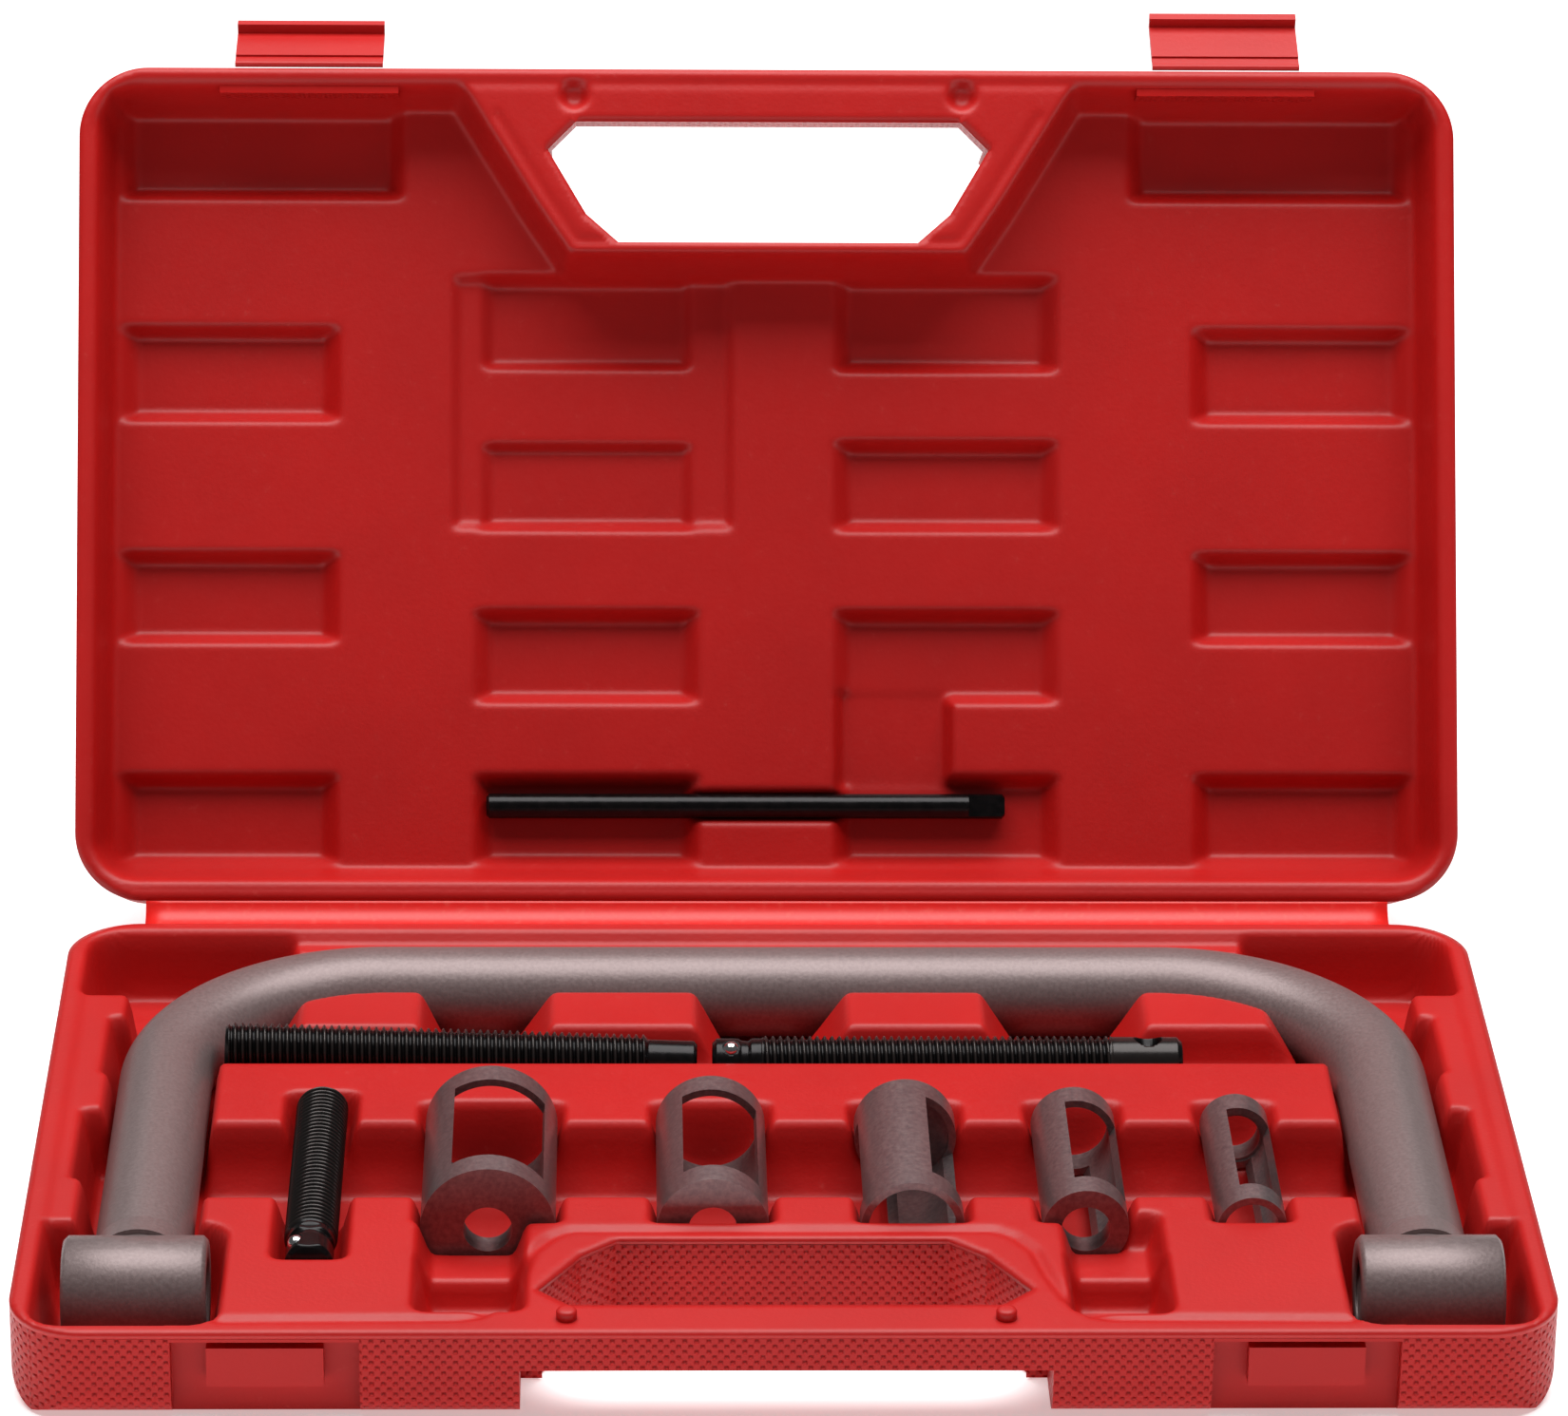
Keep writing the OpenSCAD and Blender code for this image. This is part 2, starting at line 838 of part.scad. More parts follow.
// The tommy bar has a flat filed at its right-hand end
module tommy_bar() {
    color(black_steel)
        lid_place()
            translate([bar_x[0], -bar_seat_t, -bar_depth])
                difference() {
                    rod(bar_d, bar_len, 0.7);
                    translate([bar_len - 9, -bar_d, bar_d / 2 - 1.4])
                        cube([10, 2 * bar_d, bar_d]);
                }
}

base_outer_wall();
base_tray();
base_hinge_strip();
lid_outer_wall();
lid_tray();
lid_hinge_strip();
latch_left();
latch_right();
frame_tube();
bend_left();
bend_right();
leg_left();
leg_right();
boss_left();
boss_right();
weld_beads();
drive_screw();
drive_screw_ball();
drive_screw_spring();
fixed_screw();
short_screw();
short_screw_ball();
short_screw_spring();
adapter_30();
adapter_25();
adapter_23();
adapter_19();
adapter_16();
tommy_bar();
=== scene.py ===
import bpy
import bmesh
import math
import numpy as np
from mathutils import Matrix, Vector


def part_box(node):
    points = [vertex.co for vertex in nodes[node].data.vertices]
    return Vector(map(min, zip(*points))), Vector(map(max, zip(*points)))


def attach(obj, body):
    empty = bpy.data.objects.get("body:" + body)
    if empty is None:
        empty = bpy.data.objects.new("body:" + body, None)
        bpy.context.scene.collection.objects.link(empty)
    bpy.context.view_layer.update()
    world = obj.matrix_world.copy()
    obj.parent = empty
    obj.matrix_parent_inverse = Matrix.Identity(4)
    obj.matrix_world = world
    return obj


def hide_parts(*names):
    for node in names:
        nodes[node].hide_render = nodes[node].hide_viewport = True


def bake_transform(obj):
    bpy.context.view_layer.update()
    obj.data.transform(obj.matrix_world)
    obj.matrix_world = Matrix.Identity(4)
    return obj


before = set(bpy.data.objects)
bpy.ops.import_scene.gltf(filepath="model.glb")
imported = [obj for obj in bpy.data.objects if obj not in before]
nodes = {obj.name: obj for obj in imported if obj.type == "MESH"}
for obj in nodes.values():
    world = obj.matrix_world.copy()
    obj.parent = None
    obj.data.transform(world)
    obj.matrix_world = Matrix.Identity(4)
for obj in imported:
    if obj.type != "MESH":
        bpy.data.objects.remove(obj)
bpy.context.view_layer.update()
print("frame loaded")

mm = 0.001

# The case: half coordinates are x, t (distance from the hinge edge) and depth below the rim
baseLow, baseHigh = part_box("base_outer_wall")
caseInfo = {
    "width": (baseHigh.x - baseLow.x) / mm,
    "deep": (baseHigh.y - baseLow.y) / mm,
    "baseHeight": 22.0,      # rim of the base above the bench
    "rimGap": 0.25,          # closed gap between the two rims
    "hingeOut": 3.7,         # hinge line behind the case
    "openAngle": 117.2,
    "corner": 17.0,
    "sheet": 1.3,            # thickness of a tray's wall
    "cell": 0.8,             # spacing of the tray's mesh
    "fillet": 0.8,           # softness of the moulded edges
}
halfW = caseInfo["width"] / 2
caseD = caseInfo["deep"]
hingePoint = Vector((0, caseD / 2 + caseInfo["hingeOut"], caseInfo["baseHeight"])) * mm
openTurn = (Matrix.Translation(hingePoint)
            @ Matrix.Rotation(math.radians(-caseInfo["openAngle"]), 4, "X")
            @ Matrix.Translation(-hingePoint))


def basePlace(x, t, depth):
    return np.stack([x, caseD / 2 - t, caseInfo["baseHeight"] - depth], -1) * mm


def lidPlace(x, t, depth):
    rise = caseInfo["baseHeight"] + caseInfo["rimGap"] + depth
    return np.stack([x, caseD / 2 - t, rise], -1) * mm


# small helpers for meshes and materials
def tone(hexText):
    # sRGB hex turned into the linear colour that the shader wants
    parts = [int(hexText[i:i + 2], 16) / 255 for i in (1, 3, 5)]
    return [c / 12.92 if c <= 0.04045 else ((c + 0.055) / 1.055) ** 2.4 for c in parts] + [1.0]


def addNode(tree, kind, settings=None, links=None):
    node = tree.nodes.new(kind)
    for key, value in (settings or {}).items():
        if isinstance(key, int) or key in node.inputs:
            node.inputs[key].default_value = value
        else:
            setattr(node, key, value)
    for key, socket in (links or {}).items():
        tree.links.new(socket, node.inputs[key])
    return node


def newMaterial(name):
    made = bpy.data.materials.new(name)
    made.use_nodes = True
    tree = made.node_tree
    tree.nodes.clear()
    shader = addNode(tree, "ShaderNodeBsdfPrincipled")
    addNode(tree, "ShaderNodeOutputMaterial", links={"Surface": shader.outputs[0]})
    # object coordinates in millimetres, so every scale below is a real size
    coord = addNode(tree, "ShaderNodeTexCoord")
    size = addNode(tree, "ShaderNodeVectorMath", {"operation": "SCALE", "Scale": 1000.0},
                   {0: coord.outputs["Object"]})
    return made, tree, shader, size.outputs[0], coord


def makeObject(name, verts, faces, material, smooth=True):
    mesh = bpy.data.meshes.new(name)
    mesh.from_pydata([tuple(v) for v in verts], [], [tuple(f) for f in faces])
    mesh.validate()
    if smooth:
        mesh.shade_smooth()
    made = bpy.data.objects.new(name, mesh)
    bpy.context.scene.collection.objects.link(made)
    made.data.materials.append(material)
    return made


def outward(piece):
    work = bmesh.new()
    work.from_mesh(piece.data)
    bmesh.ops.recalc_face_normals(work, faces=work.faces)
    work.to_mesh(piece.data)
    work.free()
    return piece


def cutWith(piece, cutter):
    # takes cutter away from piece and removes cutter
    modifier = piece.modifiers.new("cut", "BOOLEAN")
    modifier.operation = "DIFFERENCE"
    modifier.solver = "EXACT"
    modifier.object = cutter
    bpy.context.view_layer.update()
    graph = bpy.context.evaluated_depsgraph_get()
    fresh = bpy.data.meshes.new_from_object(piece.evaluated_get(graph))
    piece.modifiers.clear()
    piece.data = fresh
    bpy.data.objects.remove(cutter)
    return piece


# materials
redInfo = {
    "colour": "#bc1512",      # the flat of the moulding
    "deep": "#a8100e",        # slow drift to a deeper red
    "scuff": "#c9544c",       # pale rub marks
    "rough": (0.36, 0.52),
    "dotPitch": 2.62,         # mm between the bumps of the outside texture
    "recess": (113.5, 20.6),  # middle and half width of the plain latch recesses, mm
    "dotHeight": 1.3,        # mm
}


def blowMouldedRed(name, tilt=0.0, dots=False):
    # blow-moulded HDPE: a soft wide sheen, faint ripple, pale rub marks
    made, tree, shader, size, coord = newMaterial(name)
    drift = addNode(tree, "ShaderNodeTexNoise", {"Scale": 0.03, "Detail": 3.0}, {"Vector": size})
    rubs = addNode(tree, "ShaderNodeTexNoise", {"Scale": 0.35, "Detail": 8.0, "Roughness": 0.7},
                   {"Vector": size})
    rubRange = addNode(tree, "ShaderNodeMapRange", {"From Min": 0.62, "From Max": 0.82,
                       "To Max": 0.35}, {"Value": rubs.outputs[0]})
    body = addNode(tree, "ShaderNodeMix", {"data_type": "RGBA", 6: tone(redInfo["colour"]),
                   7: tone(redInfo["deep"])}, {0: drift.outputs[0]})
    worn = addNode(tree, "ShaderNodeMix", {"data_type": "RGBA", 7: tone(redInfo["scuff"])},
                   {0: rubRange.outputs[0], 6: body.outputs[2]})
    tree.links.new(worn.outputs[2], shader.inputs["Base Color"])
    gloss = addNode(tree, "ShaderNodeMapRange", {"To Min": redInfo["rough"][0],
                    "To Max": redInfo["rough"][1]}, {"Value": rubs.outputs[0]})
    tree.links.new(gloss.outputs[0], shader.inputs["Roughness"])
    shader.inputs["IOR"].default_value = 1.5
    shader.inputs["Specular IOR Level"].default_value = 0.22 if dots else 0.38
    shader.inputs["Subsurface Weight"].default_value = 0.06
    shader.inputs["Subsurface Scale"].default_value = 0.002
    shader.inputs["Subsurface Radius"].default_value = (1.0, 0.2, 0.1)
    ripple = addNode(tree, "ShaderNodeTexNoise", {"Scale": 0.9, "Detail": 4.0}, {"Vector": size})
    height = addNode(tree, "ShaderNodeMath", {"operation": "MULTIPLY", 1: 0.05},
                     {0: ripple.outputs[0]})
    if dots:
        # staggered bumps that follow each side wall: along it by x or y, up it by z
        flat = addNode(tree, "ShaderNodeVectorRotate", {"rotation_type": "X_AXIS", "Angle": tilt},
                       {"Vector": size})
        facing = addNode(tree, "ShaderNodeVectorRotate", {"rotation_type": "X_AXIS",
                         "Angle": tilt}, {"Vector": coord.outputs["Normal"]})
        place = addNode(tree, "ShaderNodeSeparateXYZ", links={0: flat.outputs[0]})
        toward = addNode(tree, "ShaderNodeSeparateXYZ", links={0: facing.outputs[0]})
        endWall = addNode(tree, "ShaderNodeMath", {"operation": "ABSOLUTE"},
                          {0: toward.outputs[0]})
        isEnd = addNode(tree, "ShaderNodeMath", {"operation": "GREATER_THAN", 1: 0.7},
                        {0: endWall.outputs[0]})
        along = addNode(tree, "ShaderNodeMix", {"data_type": "FLOAT"},
                        {0: isEnd.outputs[0], 2: place.outputs[0], 3: place.outputs[1]})
        waves = []
        for source in (along.outputs[0], place.outputs[2]):
            turn = addNode(tree, "ShaderNodeMath", {"operation": "MULTIPLY",
                           1: 2 * math.pi / redInfo["dotPitch"]}, {0: source})
            waves.append(addNode(tree, "ShaderNodeMath", {"operation": "COSINE"},
                                 {0: turn.outputs[0]}))
        crossed = addNode(tree, "ShaderNodeMath", {"operation": "MULTIPLY"},
                          {0: waves[0].outputs[0], 1: waves[1].outputs[0]})
        lifted = addNode(tree, "ShaderNodeMath", {"operation": "MAXIMUM", 1: 0.0},
                         {0: crossed.outputs[0]})
        bumps = addNode(tree, "ShaderNodeMath", {"operation": "POWER", 1: 1.4},
                        {0: lifted.outputs[0]})
        lying = addNode(tree, "ShaderNodeMath", {"operation": "ABSOLUTE"},
                        {0: toward.outputs[2]})
        upright = addNode(tree, "ShaderNodeMapRange", {"From Min": 0.55, "From Max": 0.95,
                          "To Min": redInfo["dotHeight"] / 2, "To Max": 0.0},
                          {"Value": lying.outputs[0]})
        # the latch recesses in the handle side are plain
        absX = addNode(tree, "ShaderNodeMath", {"operation": "ABSOLUTE"}, {0: place.outputs[0]})
        inBand = addNode(tree, "ShaderNodeMath", {"operation": "COMPARE",
                         1: redInfo["recess"][0], 2: redInfo["recess"][1]}, {0: absX.outputs[0]})
        front = addNode(tree, "ShaderNodeMath", {"operation": "LESS_THAN", 1: -0.3},
                        {0: toward.outputs[1]})
        plain = addNode(tree, "ShaderNodeMath", {"operation": "MULTIPLY"},
                        {0: inBand.outputs[0], 1: front.outputs[0]})
        dotted = addNode(tree, "ShaderNodeMath", {"operation": "SUBTRACT", 0: 1.0},
                         {1: plain.outputs[0]})
        shown = addNode(tree, "ShaderNodeMath", {"operation": "MULTIPLY"},
                        {0: upright.outputs[0], 1: dotted.outputs[0]})
        height = addNode(tree, "ShaderNodeMath", {"operation": "MULTIPLY_ADD"},
                         {0: bumps.outputs[0], 1: shown.outputs[0], 2: height.outputs[0]})
    bump = addNode(tree, "ShaderNodeBump", {"Strength": 1.0, "Distance": mm},
                   {"Height": height.outputs[0]})
    tree.links.new(bump.outputs[0], shader.inputs["Normal"])
    return made


def bentFilm(name):
    # thin flexed HDPE: brighter, a little light comes through, white stress along the bend
    made, tree, shader, size, coord = newMaterial(name)
    streaks = addNode(tree, "ShaderNodeTexNoise", {"Scale": 0.5, "Detail": 6.0}, {"Vector": size})
    pick = addNode(tree, "ShaderNodeMapRange", {"From Min": 0.55, "From Max": 0.8, "To Max": 0.5},
                   {"Value": streaks.outputs[0]})
    mix = addNode(tree, "ShaderNodeMix", {"data_type": "RGBA", 6: tone("#e01a12"),
                  7: tone("#e8564a")}, {0: pick.outputs[0]})
    tree.links.new(mix.outputs[2], shader.inputs["Base Color"])
    gloss = addNode(tree, "ShaderNodeMapRange", {"To Min": 0.34, "To Max": 0.5},
                    {"Value": streaks.outputs[0]})
    tree.links.new(gloss.outputs[0], shader.inputs["Roughness"])
    shader.inputs["Subsurface Weight"].default_value = 0.5
    shader.inputs["Subsurface Scale"].default_value = 0.003
    shader.inputs["Subsurface Radius"].default_value = (1.0, 0.25, 0.15)
    return made


def metalFinish(name, colour, second, metallic, rough, grain, grainHeight, crest=None):
    # a metal skin: two tones broken up by noise, with the gloss moving the other way
    made, tree, shader, size, coord = newMaterial(name)
    patches = addNode(tree, "ShaderNodeTexNoise", {"Scale": 1 / grain, "Detail": 7.0,
                      "Roughness": 0.6}, {"Vector": size})
    spread = addNode(tree, "ShaderNodeMapRange", {"From Min": 0.35, "From Max": 0.7},
                     {"Value": patches.outputs[0]})
    mix = addNode(tree, "ShaderNodeMix", {"data_type": "RGBA", 6: tone(colour), 7: tone(second)},
                  {0: spread.outputs[0]})
    if crest:
        # how far a point lies from the screw's own axis tells crest from root; the crests get a
        # painted highlight, a lighter colour mixed in there
        across = addNode(tree, "ShaderNodeVectorMath", {"operation": "MULTIPLY", 1: (0, 1, 1)},
                         {0: size})
        radius = addNode(tree, "ShaderNodeVectorMath", {"operation": "LENGTH"},
                         {0: across.outputs[0]})
        paintedCrestHighlight = addNode(tree, "ShaderNodeMapRange", {"From Min": 5.45, "From Max": 5.95,
                         "To Max": 0.8}, {"Value": radius.outputs[1]})
        mix = addNode(tree, "ShaderNodeMix", {"data_type": "RGBA", 7: tone(crest)},
                      {0: paintedCrestHighlight.outputs[0], 6: mix.outputs[2]})
    tree.links.new(mix.outputs[2], shader.inputs["Base Color"])
    shader.inputs["Metallic"].default_value = metallic
    gloss = addNode(tree, "ShaderNodeMapRange", {"To Min": rough[0], "To Max": rough[1]},
                    {"Value": patches.outputs[0]})
    tree.links.new(gloss.outputs[0], shader.inputs["Roughness"])
    bump = addNode(tree, "ShaderNodeBump", {"Strength": 1.0, "Distance": mm * grainHeight},
                   {"Height": patches.outputs[0]})
    tree.links.new(bump.outputs[0], shader.inputs["Normal"])
    return made


redTray = blowMouldedRed("blowMouldedRed")
redBaseSide = blowMouldedRed("blowMouldedRedDotted", dots=True)
redLidSide = blowMouldedRed("blowMouldedRedDottedLid", math.radians(caseInfo["openAngle"]), True)
filmRed = bentFilm("bentHingeFilm")
# satin grey-brown coat on tube: soft broad highlight
frameCoat = metalFinish("satinCoatedTube", "#736362", "#837372", 0.35, (0.34, 0.46), 0.9, 0.05)
# blackened thread: near black with an oily glint on the crests
blackSteel = metalFinish("blackOxideSteel", "#0c0b0c", "#1a1617", 0.6, (0.16, 0.32), 2.0, 0.03)
# the same steel on a thread, with a painted highlight on the crests: a lighter colour there
threadSteel = metalFinish("blackOxideThread", "#0c0b0c", "#1a1617", 0.6, (0.16, 0.32), 2.0, 0.03,
                          "#3a3533")
# phosphated tube of the adapters: dark brown grey, a little coarser
adapterCoat = metalFinish("phosphatedAdapter", "#75686a", "#8d7f7e", 0.75, (0.28, 0.42), 1.2, 0.04)
# chamfers where the coat has worn to steel
wornEdge = metalFinish("wornSteelEdge", "#b9aeab", "#8b7f7d", 0.95, (0.22, 0.4), 0.8, 0.02)
# hardened ball: close to a mirror
ballSteel = metalFinish("polishedBallSteel", "#d9d9da", "#c9c9cb", 1.0, (0.06, 0.14), 2.0, 0.004)
# drawn wire: bright with fine lines along it
springSteel = metalFinish("drawnSpringWire", "#a9a9ab", "#8c8c90", 1.0, (0.2, 0.35), 0.6, 0.01)
print("materials made")


# shapes measured in plan, in half coordinates
def boxDistance(x, t, x0, x1, t0, t1, r):
    qx = np.abs(x - (x0 + x1) / 2) - (x1 - x0) / 2 + r
    qt = np.abs(t - (t0 + t1) / 2) - (t1 - t0) / 2 + r
    return np.hypot(np.maximum(qx, 0), np.maximum(qt, 0)) + np.minimum(np.maximum(qx, qt), 0) - r


def polygonDistance(x, t, points):
    # a convex outline: the largest distance past any of its sides
    centre = np.mean(points, axis=0)
    found = np.full(x.shape, -1e9)
    for (ax, at), (bx, bt) in zip(points, points[1:] + points[:1]):
        nx, nt = bt - at, ax - bx
        size = math.hypot(nx, nt)
        if (centre[0] - ax) * nx + (centre[1] - at) * nt > 0:
            nx, nt = -nx, -nt
        found = np.maximum(found, ((x - ax) * nx + (t - at) * nt) / size)
    return found


def lineDistance(x, t, points):
    found = np.full(x.shape, 1e9)
    for (ax, at), (bx, bt) in zip(points, points[1:]):
        dx, dt = bx - ax, bt - at
        share = np.clip(((x - ax) * dx + (t - at) * dt) / (dx * dx + dt * dt), 0, 1)
        found = np.minimum(found, np.hypot(x - ax - share * dx, t - at - share * dt))
    return found


def dish(distance, depth, draft=1.2, edge=0.4):
    return depth * np.clip((edge - distance) / draft, 0, 1)


def soften(field, sigma):
    # a small Gaussian blur, which rounds every moulded edge
    reach = int(3 * sigma) + 1
    kernel = np.exp(-0.5 * (np.arange(-reach, reach + 1) / sigma) ** 2)
    kernel /= kernel.sum()
    for axis in (0, 1):
        padded = np.pad(field, [(reach, reach) if a == axis else (0, 0) for a in (0, 1)], "edge")
        field = sum(k * np.take(padded, np.arange(i, i + field.shape[axis]), axis)
                    for i, k in enumerate(kernel))
    return field


handleInfo = {"front": 192.8, "rear": 162.8, "halfFront": 54.5, "halfRear": 44.0, "corner": 7.0}


def holeOutline():
    h = handleInfo
    a, b, c = h["halfFront"], h["halfRear"], h["corner"]
    right = [(a - c, h["front"]), (a, h["front"] - c), (b + 1, h["rear"] + c), (b - c, h["rear"])]
    return right + [(-px, pt) for px, pt in reversed(right)]


def outlineDistance(x, t):
    r = caseInfo["corner"]
    outer = boxDistance(x, t, -halfW, halfW, 0, caseD, r)
    return np.maximum(outer, -polygonDistance(x, t, holeOutline()))


def trayPiece(name, depthAt, place, material, flip):
    # one moulded skin: a fine sheet in depth, closed below by its own thickness
    cell = caseInfo["cell"]
    xs = np.linspace(-halfW, halfW, int(caseInfo["width"] / cell) + 1)
    ts = np.linspace(0, caseD, int(caseD / cell) + 1)
    x, t = np.meshgrid(xs, ts, indexing="ij")
    depth = soften(depthAt(x, t), caseInfo["fillet"] / cell)
    away = outlineDistance(x, t)
    inside = away < -0.3 * cell
    keep = inside[:-1, :-1] & inside[1:, :-1] & inside[1:, 1:] & inside[:-1, 1:]
    used = np.zeros(x.shape, bool)
    count = np.zeros(x.shape, int)
    for dx, dt in ((0, 0), (1, 0), (1, 1), (0, 1)):
        part = (slice(dx, dx + keep.shape[0]), slice(dt, dt + keep.shape[1]))
        used[part] |= keep
        count[part] += keep
    # vertices along the border slide out onto the exact outline
    border = used & (count < 4)
    step = 0.05
    gx = (outlineDistance(x + step, t) - outlineDistance(x - step, t)) / (2 * step)
    gt = (outlineDistance(x, t + step) - outlineDistance(x, t - step)) / (2 * step)
    size = np.maximum(np.hypot(gx, gt), 0.5)
    x = np.where(border, x - away * gx / size, x)
    t = np.where(border, t - away * gt / size, t)
    depth = np.where(border, np.maximum(depth, 0.35), depth)
    number = -np.ones(x.shape, int)
    number[used] = np.arange(used.sum())
    top = place(x[used], t[used], depth[used])
    under = place(x[used], t[used], depth[used] + caseInfo["sheet"])
    i, j = np.nonzero(keep)
    quads = np.stack([number[i, j], number[i + 1, j], number[i + 1, j + 1], number[i, j + 1]], 1)
    total = len(top)
    edges = {}
    for a, b, c, d in quads:
        for e in ((a, b), (b, c), (c, d), (d, a)):
            if (e[1], e[0]) in edges:
                del edges[(e[1], e[0])]
            else:
                edges[e] = True
    walls = [(b, a, a + total, b + total) for a, b in edges]
    faces = [tuple(q[::-1]) for q in quads] + [tuple(q + total) for q in quads] + walls
    if flip:
        faces = [f[::-1] for f in faces]
    return makeObject(name, np.concatenate([top, under]), faces, material)


# the base's tray
trayInfo = {
    "channel": 17.7, "floor": 19.0, "legRoom": 131.5, "rim": 5.8,
    "slot": (50.5, 74.4, 10.2),
    "trench": (107.2, 141.1, 17.0),
    "notch": (96.5, 153.5),
    "humps": [(-112, -84, 12, 8), (-52.5, -18.5, 12, 9), (18, 50, 12, 11), (89, 118, 11, 12)],
    "humpReach": (35.6, 57.4),
    "ledges": [(37, 50, -0.5), (50, 78, 3.1), (78, 98, 1.7), (98, 131, 6.3), (131, 153, 4)],
    "shortScrew": (-113, -97.8, 91.4, 170.7, 9.1),
    "grooveLine": [(124, 199.6), (72, 198.9), (66.9, 197.6), (61.8, 189.9), (58.2, 179),
                   (55.9, 168), (51.7, 161.4), (47.5, 158.2), (0, 158.2)],
}
tubeInfo = {"radius": 10.9, "backBar": 24.9, "legX": 143.0, "bend": 50.0, "boss": 174.7,
            "bossX": 143.4, "bossLength": 31.8, "bossRadius": 12.25, "bore": 6.2, "drop": 6.6}
adapterInfo = {"x": [-66, -15.5, 29.4, 68.4, 105.8], "wide": [30.4, 25.2, 23.4, 19.4, 15.8],
               "names": ["30", "25", "23", "19", "16"], "drop": 2.9}


def tubeDistance(x, t):
    back = tubeInfo["legX"] - tubeInfo["bend"]
    bendT = tubeInfo["backBar"] + tubeInfo["bend"]
    ax = np.abs(x)
    bar = np.abs(t - tubeInfo["backBar"])
    bend = np.abs(np.hypot(ax - back, t - bendT) - tubeInfo["bend"])
    leg = np.hypot(ax - tubeInfo["legX"], np.maximum(t - tubeInfo["boss"], 0))
    return np.where(t >= bendT, leg, np.where(ax < back, bar, bend)) - tubeInfo["radius"]


def baseDepth(x, t):
    info = trayInfo
    ch, rim, room = info["channel"], info["rim"], info["legRoom"]
    edge = halfW - rim
    ax = np.abs(x)
    field = dish(boxDistance(x, t, -edge, edge, rim, 58.5, 10), ch)
    field = np.maximum(field, dish(boxDistance(ax, t, room, edge, rim, caseD - 5.4, 8), ch, 1.5))
    bossEdge = tubeInfo["bossX"] - tubeInfo["bossLength"] / 2 - 2.6
    field = np.maximum(field, dish(boxDistance(ax, t, bossEdge, edge, 155.7, caseD - 5.4, 6),
                                   info["floor"], 1.6))
    s0, s1, slotDepth = info["slot"]
    field = np.maximum(field, dish(boxDistance(x, t, -room - 8, room + 8, s0, s1, 2), slotDepth))
    # the trench drops straight at first, then slopes to its floor
    t0, t1, trenchDepth = info["trench"]
    inTrench = np.clip((room + 4.4 - ax) / 1.2, 0, 1)
    rearSide = 9 * np.clip((t - t0 + 0.4) / 0.9, 0, 1) + 8 * np.clip((t - t0 - 0.5) / 4.5, 0, 1)
    frontSide = trenchDepth * np.clip((t1 + 0.4 - t) / 1.6, 0, 1)
    field = np.maximum(field, inTrench * np.minimum(rearSide, frontSide))
    x0, x1, s0, s1, shortDepth = info["shortScrew"]
    field = np.maximum(field, dish(boxDistance(x, t, x0, x1, s0, s1, 2), shortDepth))
    n0, n1 = info["notch"]
    lands = ((0, -15, 8, 1.8), (3, -5, 16.2, 2.7))
    for which, left, right, past in lands:
        cx = adapterInfo["x"][which]
        for start, deep, r in ((n1 - 3, 8.3, 2), (n1 + 13.5, 15, 3)):
            field = np.maximum(field, dish(boxDistance(
                x, t, cx + left, cx + right, start, handleInfo["front"] + past, r), deep, 2.2))
    # round-bottomed seats for the adapters
    for cx, wide in zip(adapterInfo["x"], adapterInfo["wide"]):
        r = wide / 2 + 0.4
        dx = np.abs(x - cx)
        seat = adapterInfo["drop"] + np.sqrt(np.maximum(r * r - dx * dx, 0))
        window = np.clip((t - n0 + 0.6) / 3.0, 0, 1) * np.clip((n1 + 0.4 - t) / 0.9, 0, 1)
        field = np.maximum(field, seat * window * np.clip((r + 0.9 - dx) / 0.6, 0, 1))
    # humps between the frame's bar and the screws' slot, with sloping ends
    tube = tubeDistance(x, t)
    h0, h1 = info["humpReach"]
    for left, right, slopeLeft, slopeRight in info["humps"]:
        side = np.maximum((left - x) * ch / slopeLeft, (x - right) * ch / slopeRight)
        face = np.maximum((h0 - t) * 14, (t - h1) * 14)
        field = np.minimum(field, np.maximum(np.maximum(side, face), 0))
    for l0, l1, off in info["ledges"]:
        wall = tubeInfo["legX"] + tubeInfo["radius"] + off
        outside = boxDistance(ax, t, wall, halfW, l0, l1, 1.5)
        field = np.minimum(field, 0.8 + np.maximum(outside, 0) * 9)
    outside = boxDistance(x, t, -116, 116, 2, rim + 6.2, 3)
    field = np.minimum(field, 3 + np.maximum(outside, 0) * 7)
    # the raised seat that lifts the left end of the long screw
    outside = boxDistance(x, t, -127.3, -120.3, 63.3, 71.3, 1)
    field = np.minimum(field, 6.8 + np.maximum(outside, 0) * 8)
    # the frame's own channel stays clear of everything
    field = np.maximum(field, dish(tube - 0.9, ch, 0.9, 0.2))
    line = np.minimum(lineDistance(x, t, info["grooveLine"]),
                      lineDistance(-x, t, info["grooveLine"]))
    shallow = field < 0.6
    return np.maximum(field, np.where(shallow, 1.6 * np.clip(1.3 - line, 0, 1), 0))


baseTray = trayPiece("moulded_base_tray", baseDepth, basePlace, redTray, False)
outward(baseTray)
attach(baseTray, "base")
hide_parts("base_tray")
print("base tray moulded")

